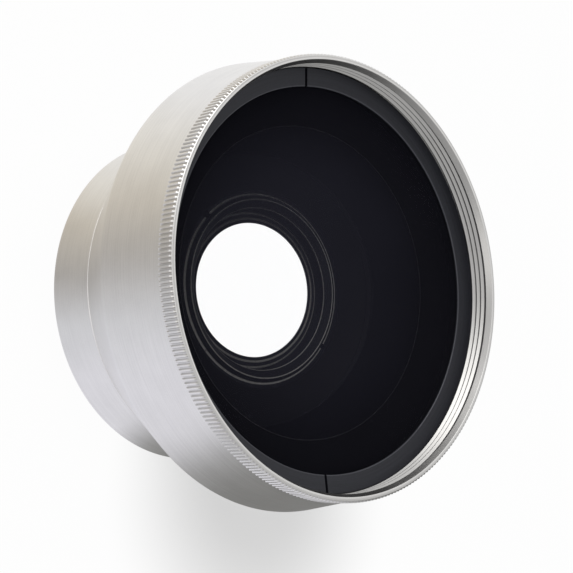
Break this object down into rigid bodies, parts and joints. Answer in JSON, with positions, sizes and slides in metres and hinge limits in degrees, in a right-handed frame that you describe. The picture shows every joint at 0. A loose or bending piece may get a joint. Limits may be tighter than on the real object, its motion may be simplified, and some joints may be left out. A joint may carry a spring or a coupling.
{
  "type": "wide-angle conversion lens",
  "caption": "Screw-on wide-angle conversion lens with flared aluminium barrel, fine knurled rim, front filter thread, meniscus front glass and unscrewing rear macro section",
  "frame": {"origin": "centre of the rear end of the mount thread, on the optical axis", "axes": "+Z along the optical axis from the rear mount thread to the front glass; X and Y across it, the front ring's spanner slots near the X axis"},
  "size_m": [0.056, 0.056, 0.0346],
  "materials": {
    "satin_aluminium": "satin anodised",
    "black_anodised_front_ring": "matt black anodised",
    "front_glass": "polished and coated",
    "black_baffle": "matt black",
    "satin_aluminium_tube": "satin anodised",
    "black_anodised_macro_ring": "matt black anodised",
    "macro_front_glass": "polished and coated",
    "black_spacer": "matt black anodised",
    "macro_rear_glass": "polished and coated",
    "black_anodised_mount": "black anodised"
  },
  "bodies": {
    "macro_section": {"macro_barrel": "satin_aluminium_tube", "mount_ring": "black_anodised_mount", "macro_retaining_ring": "black_anodised_macro_ring", "macro_front_glass": "macro_front_glass", "macro_spacer_ring": "black_spacer", "macro_rear_glass": "macro_rear_glass"},
    "front_glass": {"front_element": "front_glass"},
    "wide_section": {"front_barrel": "satin_aluminium", "front_retaining_ring": "black_anodised_front_ring", "light_baffle": "black_baffle"}
  },
  "joints": [
    {"name": "section_lift", "type": "slide", "parent": "macro_section", "child": "front_glass", "axis": [0, 0, 1], "range_m": [0, 0.0034]},
    {"name": "section_turn", "type": "hinge", "parent": "front_glass", "child": "wide_section", "pos_m": [0, 0, 0.0109], "axis": [0, 0, 1], "range_deg": [0, 1620]}
  ],
  "couplings": [
    {"joint": "section_lift", "follows": "section_turn", "m_per_rad": 0.00011937}
  ]
}
